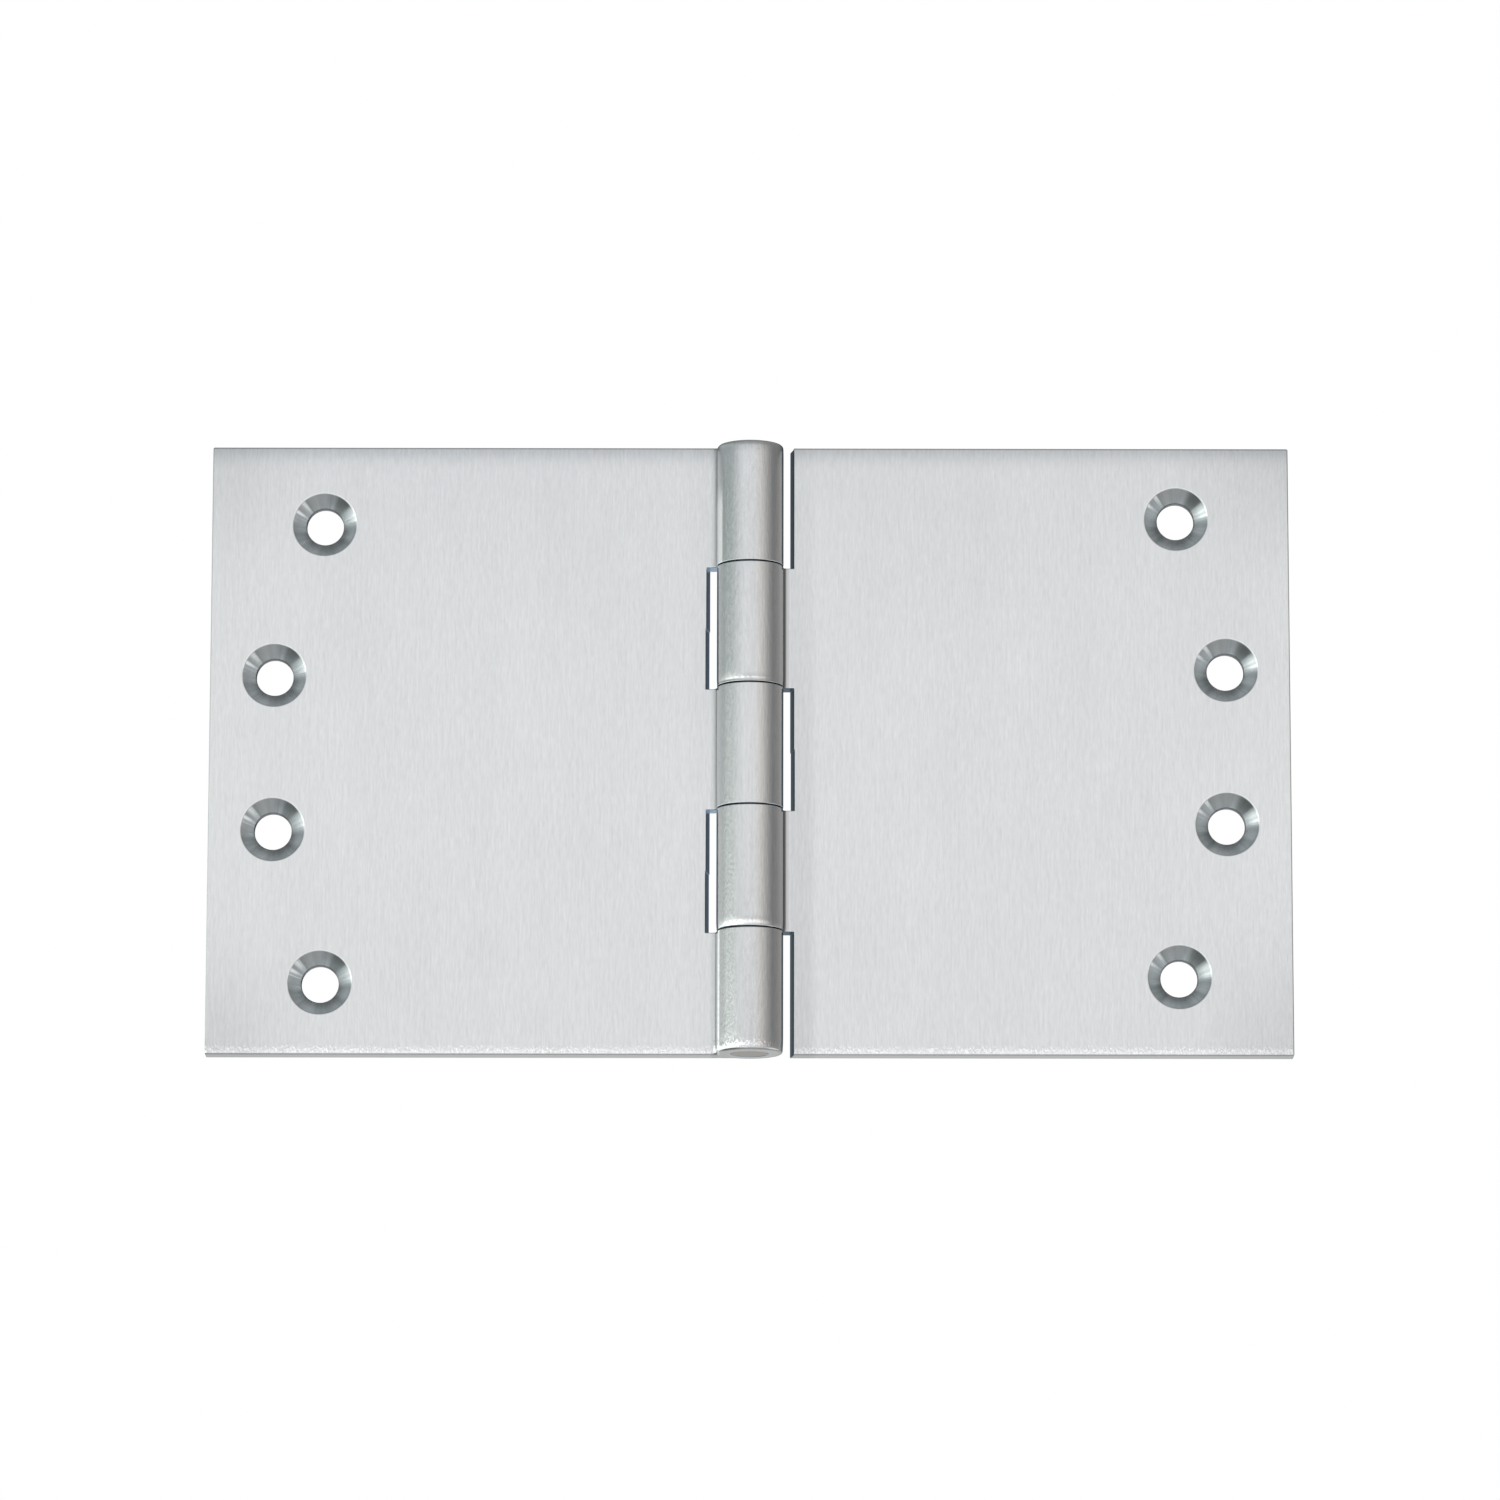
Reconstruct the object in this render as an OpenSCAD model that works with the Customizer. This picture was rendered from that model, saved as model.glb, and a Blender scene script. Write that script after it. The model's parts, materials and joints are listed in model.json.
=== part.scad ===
// Broad butt door hinge, open flat. The frame leaf has the end knuckles and the middle one and grips the pin.
// The door leaf has the two knuckles between them and turns on the pin.
// +Z runs up along the pin, X across the leaves, and the countersunk front faces look towards -Y.
// The origin is on the pin's axis at half the hinge's height.

/* [Leaves] */
// Height of the hinge along the pin
hinge_h = 100; // [90:1:140]
// Width over both leaves with the hinge open flat
open_w = 175; // [170:1:220]
// Thickness of each leaf
leaf_t = 3.5; // [3:0.1:3.8]
// Gap between the two front faces when the hinge is closed
closed_gap = 2; // [1.4:0.1:2]
// Rounding of the leaves' outside edges
edge_r = 0.25; // [0.1:0.05:0.5]
// Rounding of the leaves' outer corners, seen from the front
corner_r = 0.5; // [0.3:0.1:3]

/* [Barrel] */
// Outside diameter of the knuckles
barrel_d = 10.8; // [10.8:0.1:12]
// Number of knuckles, an odd number so that the frame leaf has both ends
knuckle_count = 5; // [3:2:7]
// Gap between neighbouring knuckles
knuckle_gap = 0.15; // [0.1:0.05:0.4]
// Rounding of the barrel's two outside ends
barrel_end_r = 0.45; // [0.2:0.05:0.5]
// Rounding of the knuckle ends that face each other
knuckle_end_r = 0.15; // [0.05:0.05:0.3]
// Radius of the fillet between a leaf's front face and its knuckles
root_r = 0.7; // [0.4:0.1:1]

/* [Pin] */
// Diameter of the pin
pin_d = 6; // [4:0.1:6.4]
// Radial running clearance between the pin and the door leaf's knuckles
pin_clearance = 0.05; // [0.02:0.01:0.1]
// How far each end of the pin lies below the end of the barrel
pin_recess = 0.05; // [0:0.05:0.5]
// Chamfer on the pin's ends
pin_chamfer = 0.1; // [0.1:0.05:0.8]
// Chamfer at the two outside mouths of the pin's bore
mouth_chamfer = 0.1; // [0.05:0.05:0.4]

/* [Notches] */
// Distance from the pin's axis to a notch's wall, at the leaf's front face
notch_reach = 7.1; // [7:0.1:9]
// How much deeper the cutter went in the lower half of the notches that are closed at both ends
pass_step = 0.1; // [0.02:0.02:0.3]
// Radius of the milling cutter, which left the notch walls hollow
cutter_r = 16; // [14:1:30]

/* [Screw holes] */
// Diameter of the screw holes
hole_d = 6; // [4:0.1:6.4]
// Diameter of the countersinks at the leaf's front face
sink_d = 10.3; // [9:0.1:12]
// Included angle of the countersinks
sink_angle = 90; // [82:1:100]
// Distance from the pin's axis to the outer pair of holes, near the leaf's top and bottom
outer_hole_x = 69.2; // [60:0.1:70]
// Height from one hole of the outer pair to the other
outer_hole_span = 75.4; // [60:0.1:80]
// Distance from the pin's axis to the inner pair of holes, near the leaf's outside edge
inner_hole_x = 77.1; // [70:0.1:78]
// Height from one hole of the inner pair to the other
inner_hole_span = 25.4; // [16:0.1:40]
// How far the holes lie from the leaf's middle: below it on the frame leaf, above it on the door leaf
hole_shift = 0.55; // [0:0.05:1]

/* [Hidden] */
$fn = 96;
front_y = closed_gap / 2;
back_y = front_y + leaf_t;
barrel_r = barrel_d / 2;
pin_r = pin_d / 2;
pitch = hinge_h / knuckle_count;
mid_y = (front_y + back_y) / 2;
// The leaf's inner edge ends inside the barrel, where even the rounded barrel ends cover it
root_x = sqrt(pow(barrel_r - barrel_end_r, 2) - pow(min(back_y, barrel_r - barrel_end_r - 0.1), 2));
// Centre of the root fillet, which touches the front face and the barrel
root_centre_x = sqrt(pow(barrel_r + root_r, 2) - pow(front_y - root_r, 2));
// Axis of the milling cutter in its first pass
cutter_x = sqrt(pow(cutter_r, 2) - pow(front_y, 2)) - notch_reach;
over = 1;
FRAME_SIDE = 0;
DOOR_SIDE = 1;
steel = [0.78, 0.79, 0.80];
pin_grey = [0.62, 0.60, 0.57];

function knuckle_bottom(k) = -hinge_h / 2 + k * pitch;
function side_of(k) = k % 2;

// Rectangle from [x0, y0] to [x1, y1] with round corners
module rounded_rect(x0, y0, x1, y1, r) {
    translate([x0 + r, y0])
        square([x1 - x0 - 2 * r, y1 - y0]);
    translate([x0, y0 + r])
        square([x1 - x0, y1 - y0 - 2 * r]);
    for (x = [x0 + r, x1 - r], y = [y0 + r, y1 - r])
        translate([x, y])
            circle(r);
}

// Flat part of a leaf on the -X side, rounded along its edges in all three directions
module plate() {
    intersection() {
        linear_extrude(height = hinge_h, center = true)
            rounded_rect(-open_w / 2, front_y, -root_x, back_y, edge_r);
        rotate([90, 0, 90])
            linear_extrude(height = open_w + over, center = true)
                rounded_rect(front_y, -hinge_h / 2, back_y, hinge_h / 2, edge_r);
        rotate([90, 0, 0])
            linear_extrude(height = 4 * back_y, center = true)
                rounded_rect(-open_w / 2, -hinge_h / 2, open_w / 2, hinge_h / 2, corner_r);
    }
}

// Fillet between the front face and the barrel
module root_fillet() {
    touch = barrel_r / (barrel_r + root_r);
    touch_x = -touch * root_centre_x;
    touch_y = touch * (front_y - root_r);
    linear_extrude(height = hinge_h - 2 * barrel_end_r, center = true)
        difference() {
            polygon([
                [-root_centre_x, front_y],
                [-root_centre_x, mid_y],
                [-root_x, mid_y],
                [-root_x, touch_y],
                [touch_x, touch_y]
            ]);
            translate([-root_centre_x, front_y - root_r])
                circle(root_r);
        }
}

// Round part of one knuckle, with its two ends rounded
module knuckle(k) {
    first = k == 0;
    last = k == knuckle_count - 1;
    z0 = knuckle_bottom(k) + (first ? 0 : knuckle_gap / 2);
    z1 = knuckle_bottom(k + 1) - (last ? 0 : knuckle_gap / 2);
    r0 = first ? barrel_end_r : knuckle_end_r;
    r1 = last ? barrel_end_r : knuckle_end_r;
    rotate_extrude() {
        translate([0, z0 + r0])
            square([barrel_r, z1 - z0 - r0 - r1]);
        translate([0, z0])
            square([barrel_r - max(r0, r1), z1 - z0]);
        translate([barrel_r - r0, z0 + r0])
            circle(r0);
        translate([barrel_r - r1, z1 - r1])
            circle(r1);
        translate([0, z0])
            square([barrel_r - r0, z1 - z0 - r1]);
        translate([0, z0 + r0])
            square([barrel_r - r1, z1 - z0 - r0]);
    }
}

// Space milled out of a leaf for the other leaf's knuckle k
module notch(k) {
    open_end = k == 0 || k == knuckle_count - 1;
    z0 = knuckle_bottom(k) - (k == 0 ? over : knuckle_gap / 2);
    z1 = knuckle_bottom(k + 1) + (k == knuckle_count - 1 ? over : knuckle_gap / 2);
    translate([cutter_x, 0, z0])
        cylinder(r = cutter_r, h = z1 - z0);
    if (!open_end)
        translate([cutter_x - pass_step, 0, z0])
            cylinder(r = cutter_r, h = knuckle_bottom(k + 0.5) - z0);
}

// Bore for the pin through the whole barrel, chamfered at its two outside mouths
module pin_bore(r) {
    cylinder(r = r, h = hinge_h + 2 * over, center = true);
    for (end = [0, 1])
        mirror([0, 0, end])
            translate([0, 0, hinge_h / 2 - mouth_chamfer])
                cylinder(r1 = r, r2 = r + mouth_chamfer + over, h = mouth_chamfer + over);
}

// Countersunk hole for a wood screw, its mouth in the front face
module screw_hole(x, z) {
    rise = (sink_d - hole_d) / 2 / tan(sink_angle / 2);
    lip = tan(sink_angle / 2);
    translate([-x, front_y, z])
        rotate([-90, 0, 0]) {
            translate([0, 0, -over])
                cylinder(d = hole_d, h = leaf_t + 2 * over);
            translate([0, 0, -over])
                cylinder(r1 = sink_d / 2 + over * lip, r2 = hole_d / 2, h = rise + over);
        }
}

module screw_holes(shift) {
    for (side = [-1, 1]) {
        screw_hole(outer_hole_x, shift + side * outer_hole_span / 2);
        screw_hole(inner_hole_x, shift + side * inner_hole_span / 2);
    }
}

// A leaf on the -X side with the knuckles of its own side, notched for the other side's
module leaf(side, bore_r, shift) {
    difference() {
        union() {
            plate();
            root_fillet();
            for (k = [0 : knuckle_count - 1])
                if (side_of(k) == side)
                    knuckle(k);
        }
        for (k = [0 : knuckle_count - 1])
            if (side_of(k) != side)
                notch(k);
        pin_bore(bore_r);
        screw_holes(shift);
    }
}

module frame_leaf() {
    color(steel)
        leaf(FRAME_SIDE, pin_r, -hole_shift);
}

module door_leaf() {
    color(steel)
        mirror([1, 0, 0])
            leaf(DOOR_SIDE, pin_r + pin_clearance, hole_shift);
}

module hinge_pin() {
    half = hinge_h / 2 - pin_recess;
    color(pin_grey)
        rotate_extrude()
            polygon([
                [0, -half],
                [pin_r - pin_chamfer, -half],
                [pin_r, -half + pin_chamfer],
                [pin_r, half - pin_chamfer],
                [pin_r - pin_chamfer, half],
                [0, half]
            ]);
}

frame_leaf();
door_leaf();
hinge_pin();
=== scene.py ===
"""Looks of a broad butt door hinge, built round its CAD frame: two leaves and a pin in satin chrome."""

import json
import math

import bmesh
import bpy
from mathutils import Matrix, Vector


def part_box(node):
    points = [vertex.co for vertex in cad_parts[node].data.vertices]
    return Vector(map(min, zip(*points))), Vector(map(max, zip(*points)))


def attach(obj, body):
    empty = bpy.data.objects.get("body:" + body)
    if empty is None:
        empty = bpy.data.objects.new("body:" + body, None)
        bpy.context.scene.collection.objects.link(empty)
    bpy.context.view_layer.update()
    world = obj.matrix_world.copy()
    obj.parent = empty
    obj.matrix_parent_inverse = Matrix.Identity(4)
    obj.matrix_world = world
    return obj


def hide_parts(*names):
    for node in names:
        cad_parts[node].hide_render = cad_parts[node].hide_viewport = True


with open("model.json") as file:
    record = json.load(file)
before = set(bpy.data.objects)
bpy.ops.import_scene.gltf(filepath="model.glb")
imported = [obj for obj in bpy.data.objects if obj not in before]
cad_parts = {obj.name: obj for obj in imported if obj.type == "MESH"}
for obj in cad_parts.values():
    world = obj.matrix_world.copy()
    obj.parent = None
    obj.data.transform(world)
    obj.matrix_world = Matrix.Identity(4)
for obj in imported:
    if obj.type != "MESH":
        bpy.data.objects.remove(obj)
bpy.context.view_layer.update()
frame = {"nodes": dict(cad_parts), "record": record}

MM = 0.001

# Sizes from the frame: the hinge's height and width, the barrel, the pin, the leaves' faces and the mounts
FRAME_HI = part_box("frame_leaf")[1]
DOOR_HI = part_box("door_leaf")[1]
PIN_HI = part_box("hinge_pin")[1]
MOUNTS = {mount["name"]: mount for mount in frame["record"]["mounts"]}
HALF_H = FRAME_HI.z
HALF_W = DOOR_HI.x
BARREL_R = FRAME_HI.x
PIN_R = PIN_HI.x
BACK_Y = MOUNTS["frame_leaf_back"]["pos_m"][1]
FRONT_Y = min(v.co.y for v in frame["nodes"]["door_leaf"].data.vertices if v.co.x > 2 * BARREL_R)

# Details that the frame's boxes don't give
KNUCKLES = 5
KNUCKLE_GAP = 0.15 * MM
BARREL_END_R = 0.45 * MM
EDGE_R = 0.25 * MM
ROOT_R = 0.7 * MM
NOTCH_REACH = 7.1 * MM
PASS_STEP = 0.1 * MM
CUTTER_R = 16 * MM
SINK_R = 5.15 * MM
PIN_CLEARANCE = 0.05 * MM
PRESS_GAP = 0.005 * MM
PIN_CHAMFER = 0.1 * MM
MOUTH_CHAMFER = 0.1 * MM

# Widths of the broken edges: the rims of the knuckles and countersinks, the notch steps and all the others
KNUCKLE_EDGE = 0.16 * MM
STEP_EDGE = 0.03 * MM
BROKEN_EDGE = 0.1 * MM

# How deep and how far in polishing has worn the hinge's two ends and the bottoms of the door leaf's knuckles
TOP_WEAR = {"leaf": (0.08 * MM, 4.5 * MM), "barrel": (0.06 * MM, 2.5 * MM)}
BOTTOM_WEAR = {"leaf": (0.07 * MM, 2.8 * MM), "barrel": (0.13 * MM, 3.6 * MM)}
KNUCKLE_WEAR = (0.1 * MM, 2.2 * MM)

PITCH = 2 * HALF_H / KNUCKLES

# How far cutters reach past what they cut, and the sides of each turned shape
OVER = 1 * MM
TURNED_SIDES = 72

# Material slots of a leaf, after the satin chrome in slot 0
MILLED, SUNK = 1, 2


# ---------------------------------------------------------------- mesh helpers


def object_from(name, bm, materials):
    """A new object in the scene from a bmesh, with its material slots."""
    mesh = bpy.data.meshes.new(name)
    bmesh.ops.recalc_face_normals(bm, faces=bm.faces)
    bm.to_mesh(mesh)
    bm.free()
    for material in materials:
        mesh.materials.append(material)
    piece = bpy.data.objects.new(name, mesh)
    bpy.context.scene.collection.objects.link(piece)
    return piece


def loft(bm, rings):
    """A closed solid through rings of the same number of points, capped at both ends."""
    loops = [[bm.verts.new(point) for point in ring] for ring in rings]
    count = len(loops[0])
    for lower, upper in zip(loops, loops[1:]):
        for i in range(count):
            j = (i + 1) % count
            bm.faces.new((lower[i], lower[j], upper[j], upper[i]))
    bm.faces.new(loops[0][::-1])
    bm.faces.new(loops[-1])


def arc(centre, radius, start, end, steps):
    """Points on a circle about centre, from the start angle to the end angle in degrees."""
    angles = [math.radians(start + (end - start) * i / steps) for i in range(steps + 1)]
    return [(centre[0] + radius * math.cos(a), centre[1] + radius * math.sin(a)) for a in angles]


def turned(bm, profile, place=Matrix.Identity(4)):
    """A solid of revolution about its own Z axis, from (radius, z) points that begin and end on it."""
    spots = [2 * math.pi * i / TURNED_SIDES for i in range(TURNED_SIDES)]
    rings = []
    for radius, z in profile:
        around = spots if radius else spots[:1]
        points = [Vector((radius * math.cos(a), radius * math.sin(a), z)) for a in around]
        rings.append([bm.verts.new(place @ point) for point in points])
    for lower, upper in zip(rings, rings[1:]):
        for i in range(TURNED_SIDES):
            pair = (i, (i + 1) % TURNED_SIDES)
            corners = [lower[k % len(lower)] for k in pair] + [upper[k % len(upper)] for k in pair[::-1]]
            bm.faces.new(list(dict.fromkeys(corners)))


def settled(piece):
    """Applies the piece's modifiers to its mesh."""
    seen = piece.evaluated_get(bpy.context.evaluated_depsgraph_get())
    mesh = bpy.data.meshes.new_from_object(seen)
    piece.modifiers.clear()
    piece.data = mesh


def cut(piece, cutter):
    """Takes the cutter's shape out of the piece. The new faces keep the cutter's material."""
    modifier = piece.modifiers.new("cut", "BOOLEAN")
    modifier.operation = "DIFFERENCE"
    modifier.solver = "EXACT"
    modifier.object = cutter
    modifier.material_mode = "TRANSFER"
    settled(piece)
    bpy.data.objects.remove(cutter)


def edge_width(*ends):
    """How widely an edge between those two points is broken."""
    off_axis = [end.xy.length for end in ends]
    level = abs(ends[0].z - ends[1].z) < 0.01 * MM
    knuckle_rim = level and min(off_axis) > BARREL_R - BARREL_END_R and max(off_axis) < BARREL_R + ROOT_R / 2
    sink_rim = min(off_axis) > 3 * NOTCH_REACH and max(end.y for end in ends) < FRONT_Y + EDGE_R
    if knuckle_rim or sink_rim:
        return KNUCKLE_EDGE
    wall_x = NOTCH_REACH + 2 * PASS_STEP
    on_wall = max(abs(end.x) for end in ends) <= wall_x and min(off_axis) >= BARREL_R + ROOT_R
    from_step = min(abs(ends[0].z - knuckle_bottom(k + 0.5)) for k in range(KNUCKLES))
    return STEP_EDGE if on_wall and level and from_step < 0.3 * MM else BROKEN_EDGE


def finish_edges(piece):
    """Breaks the sharp edges that cutting left, each by its own width, and shades the rest smooth."""
    bm = bmesh.new()
    bm.from_mesh(piece.data)
    weights = bm.edges.layers.float.new("bevel_weight_edge")
    for edge in bm.edges:
        if edge.calc_face_angle(0) > math.radians(38):
            edge[weights] = edge_width(*[v.co for v in edge.verts]) / KNUCKLE_EDGE
    bm.to_mesh(piece.data)
    bm.free()
    bevel = piece.modifiers.new("broken_edges", "BEVEL")
    bevel.limit_method = "WEIGHT"
    bevel.width = KNUCKLE_EDGE
    bevel.segments = 4
    bevel.use_clamp_overlap = False
    settled(piece)
    piece.data.shade_smooth()
    piece.data.set_sharp_from_angle(angle=math.radians(30))
    weighted = piece.modifiers.new("flat_faces_stay_flat", "WEIGHTED_NORMAL")
    weighted.keep_sharp = True
    weighted.weight = 50


# ---------------------------------------------------------------- the leaves


def end_round(z, radius):
    """How far a rounding of that radius at the hinge's ends has pulled a side in at height z."""
    into = abs(z) - (HALF_H - radius)
    return radius - math.sqrt(max(radius**2 - into**2, 0)) if into > 0 else 0


def worn(from_end, depth, length):
    """How much polishing has worn off at that distance from an end."""
    return depth * max(1 - from_end / length, 0) ** 3


def leaf_section(z, worn_ends):
    """Outline at height z of a leaf on the -X side: its plate, root fillet and barrel."""
    inset = end_round(z, EDGE_R)
    wear = TOP_WEAR if z > 0 else BOTTOM_WEAR
    barrel_r = BARREL_R - end_round(z, BARREL_END_R) - worn(HALF_H - abs(z), *wear["barrel"])
    barrel_r -= sum(worn(z - end, *KNUCKLE_WEAR) for end in worn_ends if z >= end)
    front = FRONT_Y + inset + worn(HALF_H - abs(z), *wear["leaf"])
    back = BACK_Y - inset
    outer = -HALF_W + inset
    edge = max(EDGE_R - inset, 0.02 * MM)
    root_y = front - ROOT_R
    root_x = -math.sqrt((barrel_r + ROOT_R) ** 2 - root_y**2)
    touch = math.degrees(math.atan2(root_y, -root_x))
    join = math.degrees(math.asin(back / barrel_r))
    outline = arc((outer + edge, back - edge), edge, 90, 180, 5)
    outline += arc((outer + edge, front + edge), edge, 180, 270, 5)
    outline += arc((root_x, root_y), ROOT_R, 90, -touch, 7)
    outline += arc((0, 0), barrel_r, 181 - touch, 540 - join, 96)
    return [(x, y, z) for x, y in outline]


def section_heights(worn_ends):
    """Heights of a leaf's sections, closer together where its ends are rounded or worn."""
    upper = {HALF_H - TOP_WEAR["leaf"][1] * i / 10 for i in range(1, 11)}
    for radius in (EDGE_R, BARREL_END_R):
        upper |= {HALF_H - radius + radius * math.sin(math.radians(15 * i)) for i in range(7)}
    worn_parts = {end + KNUCKLE_WEAR[1] * i / 7 for end in worn_ends for i in range(8)}
    worn_parts |= {end - OVER for end in worn_ends}
    return sorted({round(z, 8) for z in upper | {-z for z in upper} | worn_parts})


def knuckle_bottom(k):
    return -HALF_H + k * PITCH


def notch_cutter(knuckles, deeper, high, materials):
    """The milling cutter's path for those knuckles, from their bottoms up to that share of their height."""
    centre_x = math.sqrt(CUTTER_R**2 - FRONT_Y**2) - NOTCH_REACH - deeper
    outline = arc((centre_x, 0), CUTTER_R, 154, 206, 26)
    outline += [(BARREL_R + 2 * OVER, -7 * MM), (BARREL_R + 2 * OVER, 7 * MM)]
    bm = bmesh.new()
    for k in knuckles:
        bottom = knuckle_bottom(k) - (OVER if k == 0 else KNUCKLE_GAP / 2)
        top = knuckle_bottom(k + high) + (OVER if k == KNUCKLES - 1 else KNUCKLE_GAP / 2) * (high == 1)
        loft(bm, [[(x, y, z) for x, y in outline] for z in (bottom, top)])
    cutter = object_from("cutter", bm, materials)
    paint(cutter, MILLED)
    return cutter


def paint(piece, slot):
    for face in piece.data.polygons:
        face.material_index = slot


def screw_holes(side):
    """Centres of a leaf's screw holes on its front face, and their radius, from the record's mounts."""
    holes = []
    for name in ("outer", "inner"):
        mount = MOUNTS[f"{side}_{name}_screws"]
        x, _, middle = mount["pos_m"]
        for way in (-0.5, 0.5):
            z = middle + way * mount["dims"]["spacing_y_mm"] * MM
            holes.append((Vector((x, FRONT_Y, z)), mount["dims"]["hole_r_mm"] * MM))
    return holes


def mark_holes(piece, side):
    """Gives each point of a leaf its offset from the nearest screw hole's centre, for the turned marks."""
    centres = [centre for centre, _ in screw_holes(side)]
    marks = piece.data.attributes.new("from_hole", "FLOAT_VECTOR", "POINT")
    for vertex, mark in zip(piece.data.vertices, marks.data):
        offset = min((vertex.co - centre for centre in centres), key=lambda way: way.xz.length)
        mark.vector = (offset.x, 0, offset.z)


def screw_cutter(side, materials):
    """The drill and countersink for all of a leaf's holes."""
    bm = bmesh.new()
    depth = BACK_Y - FRONT_Y
    for centre, hole_r in screw_holes(side):
        profile = [(0, -OVER), (SINK_R + OVER, -OVER), (hole_r, SINK_R - hole_r)]
        profile += [(hole_r, depth + OVER), (0, depth + OVER)]
        turned(bm, profile, Matrix.Translation(centre) @ Matrix.Rotation(math.radians(-90), 4, "X"))
    cutter = object_from("cutter", bm, materials)
    paint(cutter, SUNK)
    return cutter


def bore_cutter(radius, materials):
    """The drill for the pin's bore, chamfered at both mouths."""
    mouth = radius + MOUTH_CHAMFER
    top = HALF_H + OVER
    inside = HALF_H - MOUTH_CHAMFER
    profile = [(0, -top), (mouth + OVER, -top), (radius, -inside)]
    profile += [(radius, inside), (mouth + OVER, top), (0, top)]
    bm = bmesh.new()
    turned(bm, profile)
    cutter = object_from("cutter", bm, materials)
    paint(cutter, MILLED)
    return cutter


def leaf(name, side, body, first_knuckle, bore_r, materials):
    """One leaf, drawn as an extruded section, then milled, drilled and countersunk like the real one."""
    others = [k for k in range(KNUCKLES) if k % 2 != first_knuckle]
    worn_ends = [knuckle_bottom(k) for k in range(KNUCKLES) if k not in others and side == "door"]
    bm = bmesh.new()
    loft(bm, [leaf_section(z, worn_ends) for z in section_heights(worn_ends)])
    piece = object_from(name, bm, materials)
    mirrored = Matrix.Scale(-1 if side == "door" else 1, 4, (1, 0, 0))
    piece.data.transform(mirrored)
    closed = [k for k in others if 0 < k < KNUCKLES - 1]
    cutters = [notch_cutter(others, 0, 1, materials), notch_cutter(closed, PASS_STEP, 0.5, materials)]
    for cutter in cutters:
        cutter.data.transform(mirrored)
    if side == "door":
        for mesh in [piece.data] + [cutter.data for cutter in cutters]:
            mesh.flip_normals()
    for cutter in cutters + [bore_cutter(bore_r, materials), screw_cutter(side, materials)]:
        cut(piece, cutter)
    finish_edges(piece)
    mark_holes(piece, side)
    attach(piece, body)
    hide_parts(f"{side}_leaf")
    return piece


def pin(materials):
    """The fixed pin, its chamfered ends just below the barrel's."""
    top = PIN_HI.z
    flat = PIN_R - PIN_CHAMFER
    profile = [(0, -top), (flat, -top), (PIN_R, PIN_CHAMFER - top)]
    profile += [(PIN_R, top - PIN_CHAMFER), (flat, top), (0, top)]
    bm = bmesh.new()
    turned(bm, profile)
    piece = object_from("pin", bm, materials)
    piece.data.shade_smooth()
    piece.data.set_sharp_from_angle(angle=math.radians(30))
    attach(piece, "frame_side")
    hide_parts("hinge_pin")
    return piece


# ---------------------------------------------------------------- materials


class Nodes:
    """Short calls for building one node tree."""

    def __init__(self, tree):
        self.tree = tree

    def add(self, kind, **settings):
        node = self.tree.nodes.new(kind)
        for name, value in settings.items():
            setattr(node, name, value)
        return node

    def feed(self, socket, value):
        if isinstance(value, bpy.types.NodeSocket):
            self.tree.links.new(value, socket)
        else:
            socket.default_value = value

    def math(self, operation, first, second=0.0, third=0.0):
        node = self.add("ShaderNodeMath", operation=operation)
        for socket, value in zip(node.inputs, (first, second, third)):
            self.feed(socket, value)
        return node.outputs[0]

    def product(self, first, *others):
        for other in others:
            first = self.math("MULTIPLY", first, other)
        return first

    def vector(self, operation, first, second=(0, 0, 0)):
        node = self.add("ShaderNodeVectorMath", operation=operation)
        self.feed(node.inputs[0], first)
        self.feed(node.inputs[1], second)
        return node.outputs["Value" if operation == "LENGTH" else "Vector"]

    def upright(self, length):
        """A vector of that length along Z."""
        node = self.add("ShaderNodeCombineXYZ")
        self.feed(node.inputs["Z"], length)
        return node.outputs[0]

    def split(self, vector):
        node = self.add("ShaderNodeSeparateXYZ")
        self.feed(node.inputs[0], vector)
        return node.outputs

    def ranged(self, value, low, high, to_low=0.0, to_high=1.0, shape="SMOOTHSTEP"):
        node = self.add("ShaderNodeMapRange", interpolation_type=shape)
        for socket, number in zip(node.inputs, (value, low, high, to_low, to_high)):
            self.feed(socket, number)
        return node.outputs[0]

    def band(self, value, start, full, fading, end):
        """1 from full to fading, and down softly to 0 at start and at end."""
        return self.product(self.ranged(value, start, full), self.ranged(value, end, fading))

    def noise(self, vector, detail=2.0, roughness=0.5):
        node = self.add("ShaderNodeTexNoise")
        self.feed(node.inputs["Vector"], vector)
        self.feed(node.inputs["Scale"], 1.0)
        self.feed(node.inputs["Detail"], detail)
        self.feed(node.inputs["Roughness"], roughness)
        return node.outputs["Fac"]

    def colours(self, factor, first, second):
        node = self.add("ShaderNodeMix", data_type="RGBA")
        self.feed(node.inputs["Factor"], factor)
        for name, value in (("A", first), ("B", second)):
            self.feed([i for i in node.inputs if i.name == name and i.type == "RGBA"][0], value)
        return [o for o in node.outputs if o.type == "RGBA"][0]

    def ramp(self, factor, stops):
        node = self.add("ShaderNodeValToRGB")
        points = node.color_ramp.elements
        while len(points) < len(stops):
            points.new(0)
        for point, (place, colour) in zip(points, stops):
            point.position = place
            point.color = colour
        self.feed(node.inputs[0], factor)
        return node.outputs[0]

    def bump(self, height, distance, normal=None):
        node = self.add("ShaderNodeBump")
        self.feed(node.inputs["Height"], height)
        node.inputs["Distance"].default_value = distance
        if normal:
            self.feed(node.inputs["Normal"], normal)
        return node.outputs[0]


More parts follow.
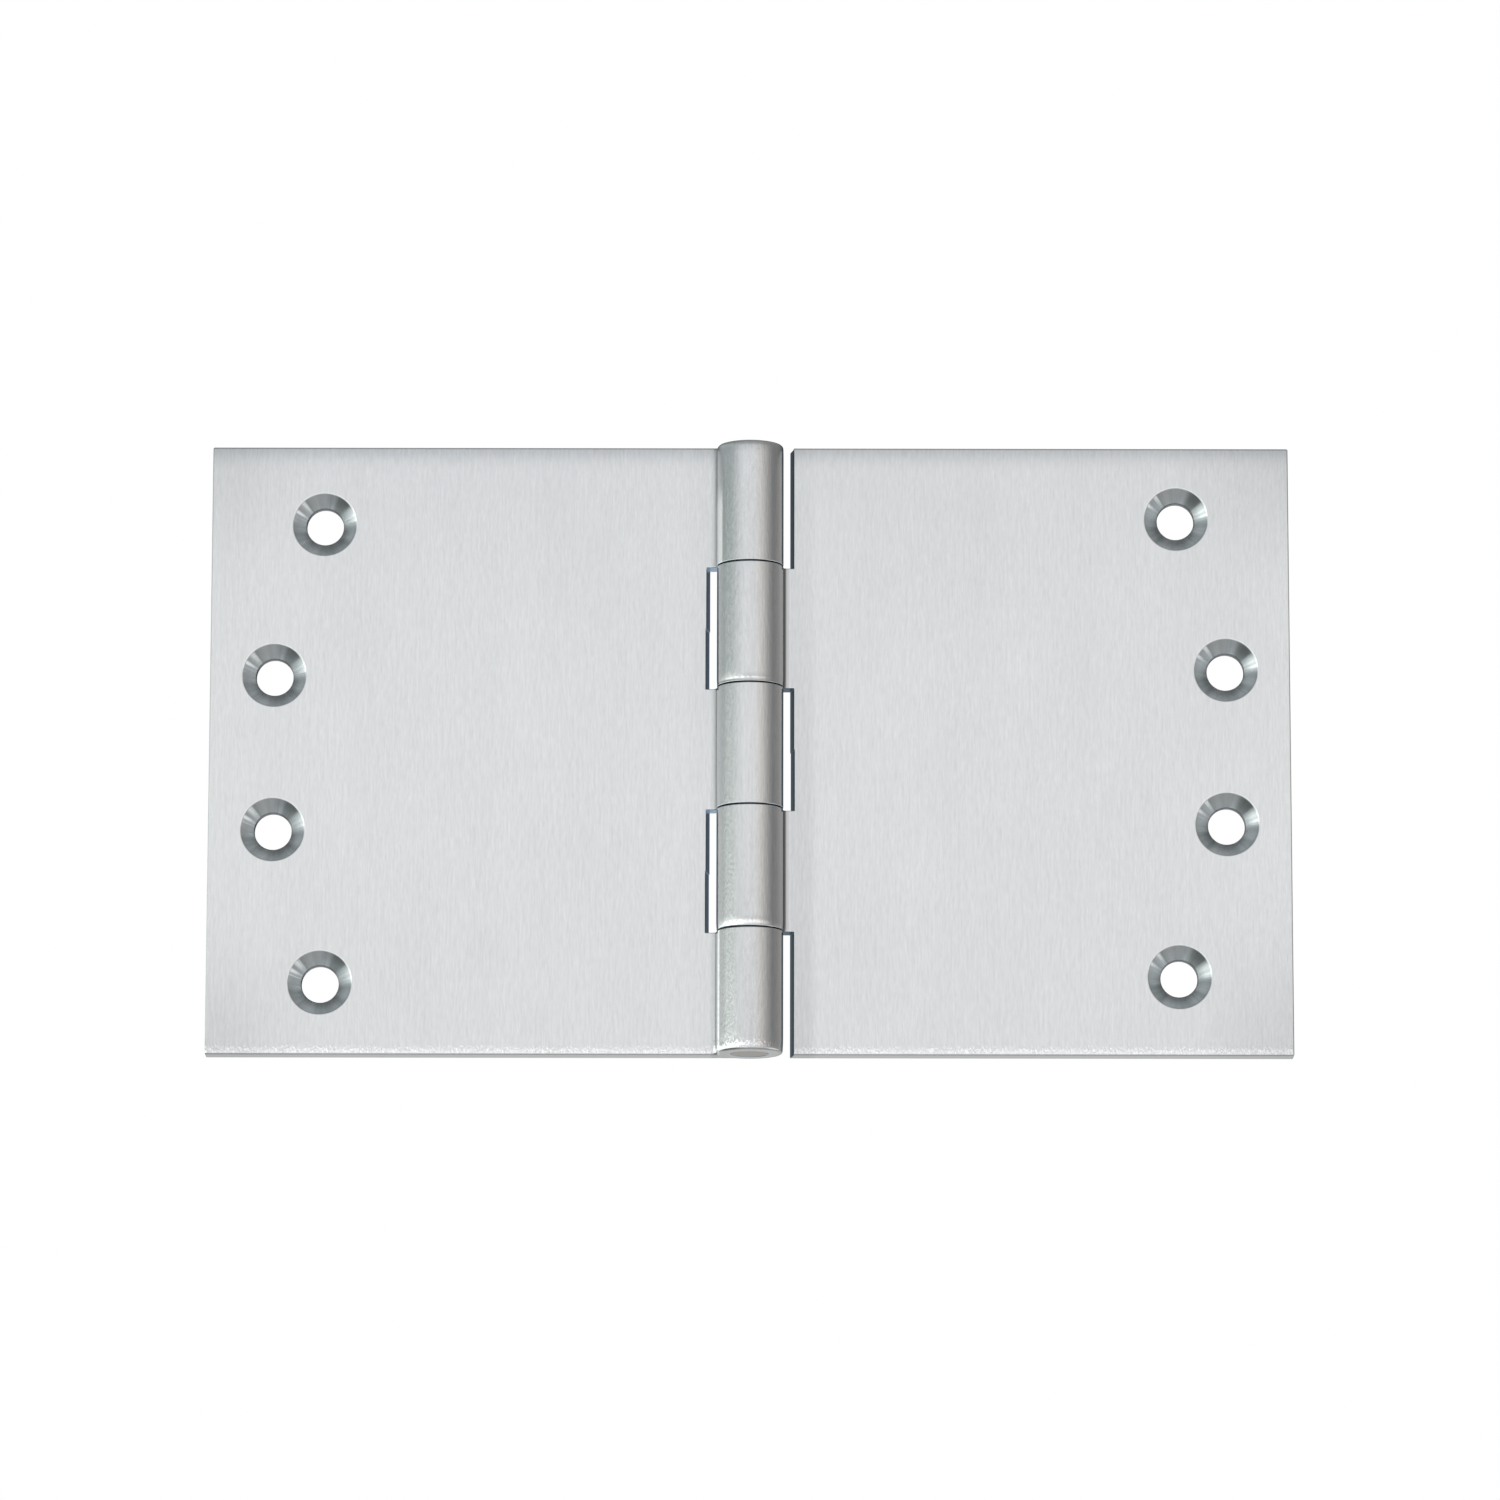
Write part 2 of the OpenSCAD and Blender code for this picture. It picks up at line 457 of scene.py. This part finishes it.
def metal(name, roughness, anisotropic):
    """A new metal material: its short calls, its shader's inputs and the piece's own coordinates."""
    material = bpy.data.materials.new(name)
    material.use_nodes = True
    nodes = Nodes(material.node_tree)
    shader = material.node_tree.nodes["Principled BSDF"].inputs
    shader["Metallic"].default_value = 1
    shader["Roughness"].default_value = roughness
    shader["Anisotropic"].default_value = anisotropic
    place = nodes.add("ShaderNodeTexCoord").outputs["Object"]
    return material, nodes, shader, place


def grain(nodes, place, across, along, detail=2.0, roughness=0.5):
    """Noise drawn out along the pin's direction, with its grain's width and length in millimetres."""
    stretched = nodes.vector("MULTIPLY", place, (1 / (across * MM), 1 / (across * MM), 1 / (along * MM)))
    return nodes.noise(stretched, detail, roughness)


def in_mm(nodes, place):
    """A place's X, Y and Z in millimetres."""
    return nodes.split(nodes.vector("MULTIPLY", place, (1 / MM, 1 / MM, 1 / MM)))


def on_barrel(nodes, place):
    """1 on the barrel and 0 on the leaves."""
    off_axis = nodes.vector("LENGTH", nodes.vector("MULTIPLY", place, (1, 1, 0)))
    return nodes.ranged(off_axis, BARREL_R + 0.3 * MM, BARREL_R + 0.05 * MM)


def low_end(nodes, place):
    """Above 0 in the lowest 3 mm, where knocks have roughened the metal, but not on the end face itself."""
    above_end = nodes.math("ADD", in_mm(nodes, place)[2], HALF_H / MM)
    return nodes.product(nodes.ranged(above_end, 3, 0.5, 0, 1.6), nodes.ranged(above_end, 0.02, 0.3))


def root_highlight_strip(nodes, place):
    """The strip along the frame leaf's root on its end knuckles that gets a painted highlight, wider on the
    top one.
    """
    x, y, z = in_mm(nodes, place)
    half_width = nodes.math("MULTIPLY_ADD", nodes.ranged(z, -1, 1), 0.4, 0.22)
    off_line = nodes.math("DIVIDE", nodes.math("ABSOLUTE", nodes.math("ADD", x, 5.02)), half_width)
    knuckle_pitches = nodes.math("ABSOLUTE", nodes.math("DIVIDE", z, PITCH / MM))
    on_end_knuckle = nodes.ranged(knuckle_pitches, 1.495, 1.51)
    return nodes.product(
        nodes.ranged(off_line, 1.0, 0.5), nodes.ranged(y, 1, 0.5), on_end_knuckle, nodes.ranged(z, 44, 39))


def darker_places(nodes, place):
    """Masks for places darker than the leaf's middle, each with how much darker. Below 0 it is lighter.
    Besides the barrel's darker tone all over, they are painted light: painted shade in the root crease, on
    the barrel's right flank, near the barrel, in a strip of the door leaf beside its barrel and toward the
    outer corners, and a painted highlight along the frame leaf's root.
    """
    x, _, z = in_mm(nodes, place)
    beside = nodes.math("ABSOLUTE", x)
    above = nodes.math("ABSOLUTE", z)
    # Painted shade in the crease where each leaf meets the barrel
    crease_shade = nodes.band(beside, 5.05, 5.2, 5.8, 6.5)
    # Painted shade on the barrel's right flank beside the door leaf
    flank_shade = nodes.band(x, 4.2, 5.1, 5.8, 6.5)
    # Painted shade on the leaves near the barrel
    root_shade = nodes.ranged(beside, 11, 7.5)
    more_below = nodes.ranged(z, HALF_H / MM, -HALF_H / MM, 0.06, 0.3, "LINEAR")
    # Painted shade in a strip of the door leaf beside its barrel, deeper lower down
    notch_strip_shade = nodes.product(nodes.band(x, 6.2, 6.8, 9.4, 11.2), more_below)
    # Painted shade toward each leaf's outer top and bottom corners
    outer_corner_shade = nodes.product(nodes.ranged(beside, 66, 88), nodes.ranged(above, 26, 51))
    # A depth below 0 paints light: the strip along the frame leaf's root gets a painted highlight
    return [
        (on_barrel(nodes, place), 0.2), (crease_shade, 0.4), (flank_shade, 0.6), (root_highlight_strip(nodes, place), -0.9),
        (root_shade, 0.06), (notch_strip_shade, 1.0), (outer_corner_shade, 0.3)]


def satin_colour(nodes, place, streaks):
    """Streaks, scratches, broad bands and clouds of lighter and darker chrome, with its dark places, which
    are mostly painted shade and one painted highlight, and painted shade on the barrel's right flank.
    """
    scratches = grain(nodes, place, 0.32, 1.8, 3, 0.65)
    bands = grain(nodes, place, 5, 50)
    clouds = grain(nodes, place, 14, 26)
    tone = 0.5
    for layer, strength in ((streaks, 0.34), (scratches, 0.5), (bands, 0.1), (clouds, 0.14)):
        tone = nodes.math("ADD", tone, nodes.math("MULTIPLY_ADD", layer, strength, -strength / 2))
    for mask, depth in darker_places(nodes, place):
        tone = nodes.math("SUBTRACT", tone, nodes.math("MULTIPLY", mask, depth))
    colour = nodes.colours(tone, (0.595, 0.60, 0.605, 1), (0.925, 0.93, 0.935, 1))
    # Painted shade, much darker, on the barrel's right flank next to the door leaf
    barrel_flank_shade = nodes.band(in_mm(nodes, place)[0], 4.9, 5.3, 5.6, 6.0)
    return nodes.colours(barrel_flank_shade, colour, (0.30, 0.305, 0.31, 1))


def satin_normal(nodes, place, streaks):
    """Fine streaks, a rougher barrel with pits on its left side, and the strip with the painted highlight
    along the root facing down a little.
    """
    x, _, z = in_mm(nodes, place)
    barrel = on_barrel(nodes, place)
    knocked = low_end(nodes, place)
    rough = nodes.math("MAXIMUM", nodes.math("MAXIMUM", barrel, knocked), 0.25)
    left_side = nodes.product(barrel, nodes.ranged(x, -1, -3), nodes.ranged(z, 25, -45, 0.05, 0.6))
    pitted = nodes.math("MAXIMUM", left_side, knocked)
    normal = nodes.bump(streaks, 0.008 * MM)
    normal = nodes.bump(nodes.product(grain(nodes, place, 0.35, 1.6, 2, 0.6), rough), 0.02 * MM, normal)
    normal = nodes.bump(nodes.product(grain(nodes, place, 0.25, 0.6, 1, 0.5), pitted), 0.035 * MM, normal)
    downward = nodes.upright(nodes.product(root_highlight_strip(nodes, place), -0.07))
    return nodes.vector("NORMALIZE", nodes.vector("ADD", normal, downward))


def satin_chrome():
    """Chrome on a fine belt-brushed surface, its scratches running along the pin."""
    material, nodes, shader, place = metal("satin_chrome", 0.2, 0.6)
    shader["Anisotropic Rotation"].default_value = 0.25
    nodes.feed(shader["Tangent"], nodes.upright(1))
    streaks = grain(nodes, place, 0.5, 6, 2, 0.65)
    nodes.feed(shader["Base Color"], satin_colour(nodes, place, streaks))
    nodes.feed(shader["Roughness"], nodes.math("MULTIPLY_ADD", on_barrel(nodes, place), -0.06, 0.21))
    nodes.feed(shader["Normal"], satin_normal(nodes, place, streaks))
    return material


def milled_walls(name, painted_light_level, glance):
    """Darker bare milling in the notches and bore, with how much of the light it reflects at a glance. The
    two leaves get lighter and darker copies of it: painted light and shade for walls that face the light
    differently.
    """
    material, nodes, shader, place = metal(name, 0.3, 0.0)
    shader["Specular Tint"].default_value = (0.85 * glance, 0.93 * glance, glance, 1)
    marks = grain(nodes, place, 0.6, 0.25)
    darker = [part * painted_light_level for part in (0.12, 0.15, 0.18)]
    lighter = [part * painted_light_level for part in (0.26, 0.31, 0.36)]
    nodes.feed(shader["Base Color"], nodes.colours(marks, (*darker, 1), (*lighter, 1)))
    nodes.feed(shader["Normal"], nodes.bump(marks, 0.006 * MM))
    return material


def from_hole(nodes):
    """Where a point lies from the axis of the nearest screw hole, as mark_holes wrote it."""
    return nodes.add("ShaderNodeAttribute", attribute_name="from_hole").outputs["Vector"]


def hole_axis(nodes):
    """The direction of the screw holes' axes, which the turned marks run round."""
    turn = nodes.add("ShaderNodeVectorTransform", vector_type="VECTOR")
    turn.convert_from = "OBJECT"
    turn.convert_to = "WORLD"
    nodes.feed(turn.inputs[0], (0, 1, 0))
    return turn.outputs[0]


def countersinks():
    """Turned cones, with ring marks that draw highlights out into spokes, and dark drilled walls."""
    material, nodes, shader, place = metal("countersinks", 0.2, 0.8)
    nodes.feed(shader["Tangent"], hole_axis(nodes))
    way = nodes.vector("NORMALIZE", from_hole(nodes))
    facets = nodes.noise(nodes.vector("MULTIPLY", way, (2, 2, 2)), 1, 0.5)
    spokes = nodes.noise(nodes.vector("MULTIPLY", way, (6, 6, 6)), 2, 0.6)
    facet_tone = nodes.ranged(facets, 0.35, 0.65, -0.3, 0.3)
    tone = nodes.math("ADD", facet_tone, nodes.ranged(spokes, 0.3, 0.7, 0.4, 0.6))
    cone = nodes.colours(tone, (0.42, 0.45, 0.45, 1), (0.70, 0.73, 0.745, 1))
    drilled = nodes.ranged(nodes.vector("LENGTH", from_hole(nodes)), 3.15 * MM, 3.04 * MM)
    nodes.feed(shader["Base Color"], nodes.colours(drilled, cone, (0.2, 0.21, 0.22, 1)))
    normal = nodes.bump(facets, 0.2 * MM)
    nodes.feed(shader["Normal"], nodes.bump(spokes, 0.025 * MM, normal))
    return material


def pin_steel():
    """The pin's ground end, slightly warmer than the chrome round it."""
    material, nodes, shader, place = metal("pin_steel", 0.34, 0.0)
    marks = nodes.noise(nodes.vector("MULTIPLY", place, (1500, 1500, 1500)))
    nodes.feed(shader["Base Color"], nodes.colours(marks, (0.46, 0.43, 0.40, 1), (0.62, 0.59, 0.55, 1)))
    nodes.feed(shader["Normal"], nodes.bump(marks, 0.006 * MM))
    return material


chrome = satin_chrome()
sunk = countersinks()
# The frame leaf's walls get a lighter copy and the door leaf's a darker one, as painted light and shade
frame_materials = [chrome, milled_walls("milled_walls_frame", 2.7, 1.0), sunk]
door_materials = [chrome, milled_walls("milled_walls_door", 1.1, 0.65), sunk]

leaf("frame_leaf_metal", "frame", "frame_side", 0, PIN_R + PRESS_GAP, frame_materials)
leaf("door_leaf_metal", "door", "door_side", 1, PIN_R + PIN_CLEARANCE, door_materials)
pin([pin_steel()])


# ---------------------------------------------------------------- stage, light and camera

WHITE = (1, 1, 1, 1)

# The studio's light on each side of the hinge, as (elevation in degrees, level) from straight down upwards
FRONT_LIGHT = [
    (-90, 0.42), (-40, 0.7), (-24, 0.9), (-17, 1.1), (-11, 1.1), (-7, 0.96), (0, 0.92),
    (1.8, 1.8), (3.6, 1.9), (5, 0.78), (7.3, 0.74), (9, 0.9), (10.7, 1.11), (12.5, 1.01),
    (15, 0.85), (18, 0.62), (24, 0.42), (40, 0.42), (60, 0.33)]
LEFT_LIGHT = [
    (-90, 0.42), (-50, 0.15), (-24, 0.12), (-15, 1.3), (-3, 1.7), (4, 1.4), (8, 0.95),
    (10, 0.8), (11.2, 0.76), (12.2, 0.5), (13.5, 0.4), (17, 0.55), (30, 0.3), (60, 0.3)]
RIGHT_LIGHT = [(-90, 0.42), (-45, 0.35), (-10, 0.5), (-2, 0.3), (11, 0.24), (30, 0.3), (60, 0.3)]
BACK_LIGHT = [(-90, 0.42), (-20, 0.64), (-6, 0.6), (-2, 0.2), (3, 0.05), (25, 0.05), (60, 0.33)]

# Where the front's light gives way to each other side's, in degrees round the hinge from its front
TO_LEFT = (-14, -78)
TO_RIGHT = (12, 92)
TO_BACK = (115, 175)

# Low lamps: the middle and half the size of each, both as (round, up) in degrees, and its level
LAMPS = [((95, -14), (26, 4), 1.1), ((98, -36), (30, 4), 1.0), ((-62, 1), (38, 4), 0.9)]

# The floor lies this far below the hinge's middle
FLOOR_DROP = 0.32
FLOOR_RADIUS = 6

# The camera's long lens in millimetres, its distance from the hinge in metres, and its angles in degrees
SENSOR_WIDTH = 36
CAMERA_LENS = 191.03
CAMERA_DISTANCE = 1.2864
CAMERA_BELOW = 10.933
CAMERA_TILT = 10.92
CAMERA_ROLL = 0.094


def grey(level):
    return (level, level, level, 1)


def heights(nodes, rise, stops):
    """Light by elevation, from (degrees, level) stops."""
    share = nodes.math("ADD", nodes.math("DIVIDE", rise, 180), 0.5)
    peak = max(level for _, level in stops)
    ramp = nodes.ramp(share, [(degrees / 180 + 0.5, grey(level / peak)) for degrees, level in stops])
    return nodes.vector("MULTIPLY", ramp, (peak, peak, peak))


def tinted(nodes, light, factor, first, second):
    """That light in the first tint where the factor is 0 and in the second where it is 1."""
    return nodes.vector("MULTIPLY", light, nodes.colours(factor, (*first, 1), (*second, 1)))


def front_light(nodes, round_way, rise):
    """Bluer high up, warmer to the right and a little brighter to the left."""
    light = heights(nodes, rise, FRONT_LIGHT)
    light = tinted(nodes, light, nodes.ranged(rise, 12, 19), (0.98, 0.993, 1.005), (0.955, 0.99, 1.025))
    light = tinted(nodes, light, nodes.ranged(round_way, 4, 40), (1, 1, 1), (1.04, 1.0, 0.95))
    return tinted(nodes, light, nodes.ranged(round_way, 1, -6), (0.985, 0.985, 0.985), (1.02, 1.02, 1.02))


def left_light(nodes, rise):
    light = heights(nodes, rise, LEFT_LIGHT)
    return tinted(nodes, light, nodes.ranged(rise, 10, 12.5), (0.965, 1.03, 0.985), (0.9, 1.0, 1.0))


def back_light(nodes, rise):
    """Dark blue above the horizon."""
    light = heights(nodes, rise, BACK_LIGHT)
    return tinted(nodes, light, nodes.band(rise, -5, 2, 25, 40), (1, 1, 1), (0.75, 1.0, 1.3))


def patch(nodes, directions, centre, size, soft=0.35):
    """1 inside a soft-edged rectangle of the studio's surroundings, 0 outside; angles in degrees."""
    inside = 1.0
    for value, middle, half in zip(directions, centre, size):
        away = nodes.math("ABSOLUTE", nodes.math("SUBTRACT", value, middle))
        inside = nodes.product(nodes.ranged(away, half * (1 + soft), half * (1 - soft)), inside)
    return inside


def lamp_light(nodes, round_way, rise):
    total = 0.0
    for centre, size, level in LAMPS:
        total = nodes.math("MULTIPLY_ADD", patch(nodes, (round_way, rise), centre, size), level, total)
    return nodes.vector("MULTIPLY", total, (1, 1, 1))


def studio_world():
    """Soft studio light by direction: a broad bright front, low lights at the sides and a dark back."""
    world = bpy.data.worlds.new("studio")
    bpy.context.scene.world = world
    world.use_nodes = True
    nodes = Nodes(world.node_tree)
    x, y, z = nodes.split(nodes.add("ShaderNodeTexCoord").outputs["Generated"])
    azimuth = nodes.math("ARCTAN2", x, nodes.math("MULTIPLY", y, -1))
    round_way = nodes.math("MULTIPLY", azimuth, 180 / math.pi)
    rise = nodes.math("MULTIPLY", nodes.math("ARCSINE", z), 180 / math.pi)
    studio = front_light(nodes, round_way, rise)
    studio = nodes.colours(nodes.ranged(round_way, *TO_LEFT), studio, left_light(nodes, rise))
    studio = nodes.colours(nodes.ranged(round_way, *TO_RIGHT), studio, heights(nodes, rise, RIGHT_LIGHT))
    behind = nodes.ranged(nodes.math("ABSOLUTE", round_way), *TO_BACK)
    studio = nodes.colours(behind, studio, back_light(nodes, rise))
    studio = nodes.vector("ADD", studio, lamp_light(nodes, round_way, rise))
    seen = nodes.add("ShaderNodeLightPath").outputs["Is Camera Ray"]
    background = world.node_tree.nodes["Background"]
    nodes.feed(background.inputs["Color"], nodes.colours(seen, studio, WHITE))


def floor_light():
    """Soft light from above for the floor. The metal doesn't mirror it, only the studio's surroundings."""
    light = bpy.data.lights.new("floor_light", "SUN")
    light.energy = 1.85
    light.angle = math.radians(60)
    lamp = bpy.data.objects.new("floor_light", light)
    lamp.visible_glossy = False
    bpy.context.scene.collection.objects.link(lamp)


def pale_floor():
    bm = bmesh.new()
    bmesh.ops.create_circle(bm, cap_ends=True, segments=96, radius=FLOOR_RADIUS)
    material = bpy.data.materials.new("pale_floor")
    material.use_nodes = True
    shader = material.node_tree.nodes["Principled BSDF"].inputs
    shader["Base Color"].default_value = grey(0.86)
    shader["Roughness"].default_value = 0.9
    floor = object_from("floor", bm, [material])
    floor.location.z = -FLOOR_DROP
    floor.visible_glossy = False


def aim_camera():
    """Straight at the hinge's front from a little below it."""
    data = bpy.data.cameras.new("camera")
    data.sensor_width = SENSOR_WIDTH
    data.lens = CAMERA_LENS
    camera = bpy.data.objects.new("camera", data)
    below = math.radians(CAMERA_BELOW)
    place = Vector((0, -math.cos(below), -math.sin(below))) * CAMERA_DISTANCE
    tilt = Matrix.Rotation(math.radians(90 + CAMERA_TILT), 4, "X")
    roll = Matrix.Rotation(math.radians(CAMERA_ROLL), 4, "Z")
    camera.matrix_world = Matrix.Translation(place) @ tilt @ roll
    bpy.context.scene.collection.objects.link(camera)
    bpy.context.scene.camera = camera


studio_world()
floor_light()
pale_floor()
bpy.context.scene.view_settings.view_transform = "Standard"
aim_camera()
